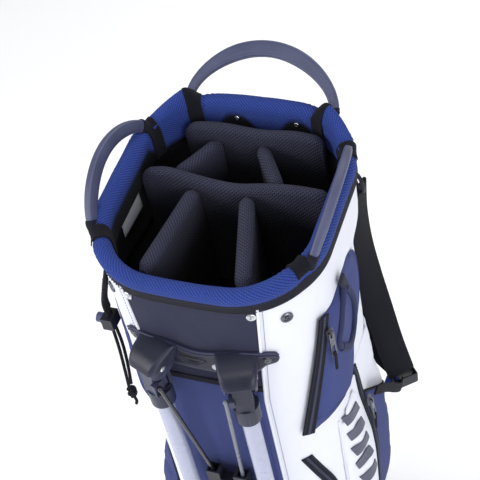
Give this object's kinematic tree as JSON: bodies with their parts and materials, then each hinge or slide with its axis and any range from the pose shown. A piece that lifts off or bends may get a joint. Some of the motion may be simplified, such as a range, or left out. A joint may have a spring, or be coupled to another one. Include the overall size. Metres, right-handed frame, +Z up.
{
  "type": "golf stand bag",
  "caption": "Golf stand bag with a padded divided top, three grip handles, fold-out legs worked by a tilting foot plate, zipped pockets, shoulder straps and an umbrella cord.",
  "frame": {"origin": "middle of the base's flat sole, on the ground", "axes": "+Z up along the bag, -Y toward the legs, +X toward the ball pocket"},
  "size_m": [0.2936, 0.3192, 0.8822],
  "materials": {
    "blue_mesh": "royal blue spacer mesh",
    "charcoal_mesh": "charcoal spacer mesh",
    "charcoal_cloth": "charcoal coated cloth",
    "navy_cloth": "navy coated cloth",
    "white_cloth": "white coated cloth, smooth",
    "black_lining": "black woven lining",
    "black_webbing": "black webbing",
    "slate_plastic": "satin slate moulding",
    "black_plastic": "satin near-black moulding",
    "white_tube": "pearl white paint",
    "steel": "bright steel",
    "gunmetal": "gunmetal plating",
    "rubber": "black rubber",
    "glass_fibre": "glass-fibre rod",
    "cord": "black braided cord"
  },
  "bodies": {
    "bag": {"body_tube": "black_lining", "cuff_frame": "black_plastic", "rim_pad": "blue_mesh", "rim_wings": "blue_mesh", "rim_trim": "black_webbing", "handle_left": "slate_plastic", "handle_right": "slate_plastic", "handle_back": "slate_plastic", "handle_wraps": "black_webbing", "divider_rear": "charcoal_mesh", "divider_middle": "charcoal_mesh", "divider_rear_left": "charcoal_mesh", "divider_rear_right": "charcoal_mesh", "divider_front_left": "charcoal_mesh", "divider_front_right": "charcoal_mesh", "frame_stays": "glass_fibre", "yoke_panel": "charcoal_cloth", "spine_panel": "navy_cloth", "right_panel": "white_cloth", "left_panel": "white_cloth", "back_panel": "navy_cloth", "hip_pad": "black_webbing", "base_shell": "black_plastic", "hinge_pin": "steel", "stand_bracket": "black_plastic", "bracket_screws": "steel", "pivot_pins": "steel", "rod_guides": "black_plastic", "apparel_pocket": "navy_cloth", "ball_pocket": "white_cloth", "left_pockets": "navy_cloth", "strap_rings": "black_plastic", "strap_right": "black_webbing", "strap_left": "black_webbing", "strap_buckles": "black_plastic", "strap_tails": "black_webbing", "strap_links": "black_webbing", "umbrella_loop": "black_webbing", "umbrella_cord": "cord", "cord_knot": "cord", "rivets": "steel"},
    "left_leg": {"leg_cap_left": "black_plastic", "leg_tube_left": "white_tube", "leg_foot_left": "rubber"},
    "right_leg": {"leg_cap_right": "black_plastic", "leg_tube_right": "white_tube", "leg_foot_right": "rubber"},
    "left_rod": {"rod_left": "steel"},
    "right_rod": {"rod_right": "steel"},
    "actuator": {"coupler": "black_plastic", "push_rod": "steel"},
    "foot": {"foot_plate": "black_plastic"},
    "apparel_slider": {"apparel_slider": "gunmetal"},
    "apparel_pull": {"apparel_pull": "gunmetal"},
    "ball_slider": {"ball_slider": "gunmetal"},
    "ball_pull": {"ball_pull": "gunmetal"},
    "cooler_slider": {"left_slider": "gunmetal"},
    "cooler_pull": {"left_pull": "gunmetal"},
    "cord_lock": {"cord_lock": "black_plastic"},
    "cord_button": {"cord_button": "slate_plastic"}
  },
  "joints": [
    {"name": "left_leg_swing", "type": "hinge", "parent": "bag", "child": "left_leg", "pos_m": [-0.046, -0.134, 0.71], "axis": [-0.9272, 0.3746, 0], "range_deg": [0, 30], "stiffness_Nm_per_rad": 0.3},
    {"name": "right_leg_swing", "type": "hinge", "parent": "bag", "child": "right_leg", "pos_m": [0.046, -0.134, 0.71], "axis": [-0.9272, -0.3746, 0], "range_deg": [0, 30], "stiffness_Nm_per_rad": 0.3},
    {"name": "left_rod_swing", "type": "hinge", "parent": "left_leg", "child": "left_rod", "pos_m": [-0.03426, -0.14953, 0.688], "axis": [-0.9272, 0.3746, 0], "range_deg": [-34, 0]},
    {"name": "right_rod_swing", "type": "hinge", "parent": "right_leg", "child": "right_rod", "pos_m": [0.03426, -0.14953, 0.688], "axis": [-0.9272, -0.3746, 0], "range_deg": [-34, 0]},
    {"name": "actuator_lift", "type": "slide", "parent": "bag", "child": "actuator", "axis": [0, 0, 1], "range_m": [0, 0.0098]},
    {"name": "foot_tilt", "type": "hinge", "parent": "bag", "child": "foot", "pos_m": [0, -0.058, 0.008], "axis": [-1, 0, 0], "range_deg": [0, 8]},
    {"name": "apparel_zip", "type": "slide", "parent": "bag", "child": "apparel_slider", "axis": [-0.13, -0.2202, -0.9668], "range_m": [0, 0.12]},
    {"name": "apparel_pull_swing", "type": "hinge", "parent": "apparel_slider", "child": "apparel_pull", "pos_m": [0.12002, -0.07412, 0.7245], "axis": [-0.4695, -0.8829, 0], "range_deg": [0, 95]},
    {"name": "ball_zip", "type": "slide", "parent": "bag", "child": "ball_slider", "axis": [0.0747, 0.0498, -0.996], "range_m": [0, 0.075]},
    {"name": "ball_pull_swing", "type": "hinge", "parent": "ball_slider", "child": "ball_pull", "pos_m": [0.1242, -0.0035, 0.5228], "axis": [0, -1, 0], "range_deg": [0, 95]},
    {"name": "cooler_zip", "type": "slide", "parent": "bag", "child": "cooler_slider", "axis": [-0.2451, 0.0891, -0.9654], "range_m": [0, 0.06]},
    {"name": "cooler_pull_swing", "type": "hinge", "parent": "cooler_slider", "child": "cooler_pull", "pos_m": [-0.13436, 0.01, 0.39943], "axis": [0, 1, 0], "range_deg": [0, 95]},
    {"name": "cord_lock_slide", "type": "slide", "parent": "bag", "child": "cord_lock", "axis": [0, 0, 1], "range_m": [-0.012, 0.007]},
    {"name": "cord_button_press", "type": "slide", "parent": "cord_lock", "child": "cord_button", "axis": [1, 0, 0], "range_m": [0, 0.003], "stiffness_N_per_m": 300}
  ],
  "couplings": [
    {"joint": "right_leg_swing", "follows": "left_leg_swing", "ratio": 1},
    {"joint": "left_rod_swing", "follows": "left_leg_swing", "ratio": -1.1053},
    {"joint": "right_rod_swing", "follows": "left_leg_swing", "ratio": -1.1053},
    {"joint": "actuator_lift", "follows": "left_leg_swing", "m_per_rad": 0.018392},
    {"joint": "foot_tilt", "follows": "left_leg_swing", "ratio": 0.25807}
  ]
}
